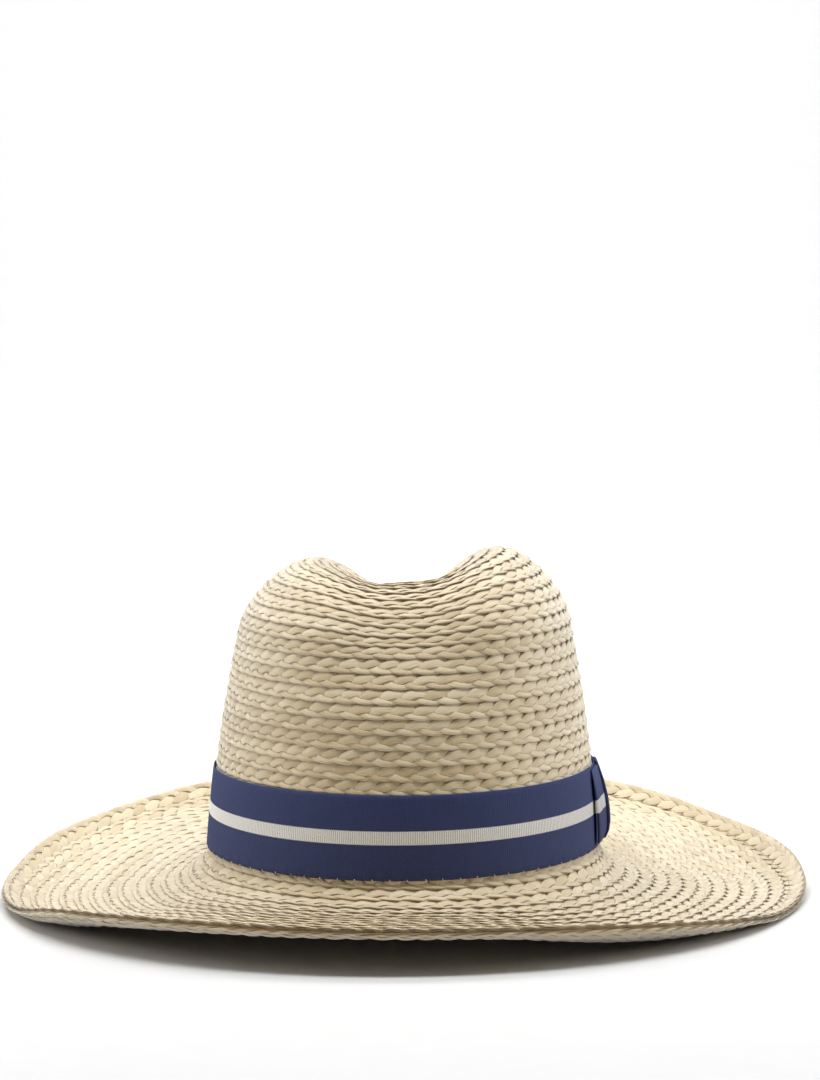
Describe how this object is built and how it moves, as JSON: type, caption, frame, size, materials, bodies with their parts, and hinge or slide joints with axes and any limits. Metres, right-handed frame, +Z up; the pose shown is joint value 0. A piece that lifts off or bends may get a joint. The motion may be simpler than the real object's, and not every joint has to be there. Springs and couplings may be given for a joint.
{
  "type": "fedora hat",
  "caption": "Wide-brimmed fedora sewn from straw braid, with a navy grosgrain ribbon that has a white centre stripe, a flat side bow and a cotton sweatband",
  "frame": {"origin": "centre of the bounding box in plan, on the surface that the brim stands on", "axes": "+Z up, the wearer looks along -Y, the bow is on the wearer's left at +X"},
  "size_m": [0.359, 0.38, 0.155],
  "materials": {
    "straw": "plaited paper straw",
    "ribbon": "grosgrain",
    "lining": "cotton twill",
    "label": "satin",
    "thread": "matte",
    "wire": "drawn"
  },
  "bodies": {
    "root": {"crown_tip_braid": "straw", "crown_wall_braid": "straw", "brim_braid": "straw", "brim_edge_braid": "straw", "brim_edge_wire": "wire", "brim_edge_stitch": "thread", "ribbon_band": "ribbon", "ribbon_stitch": "thread", "bow_tail": "ribbon", "bow_loop": "ribbon", "bow_keeper": "ribbon", "bow_tack_front": "thread", "bow_tack_back": "thread", "sweatband": "lining", "sweatband_stitch": "thread", "care_label": "label"}
  },
  "joints": []
}
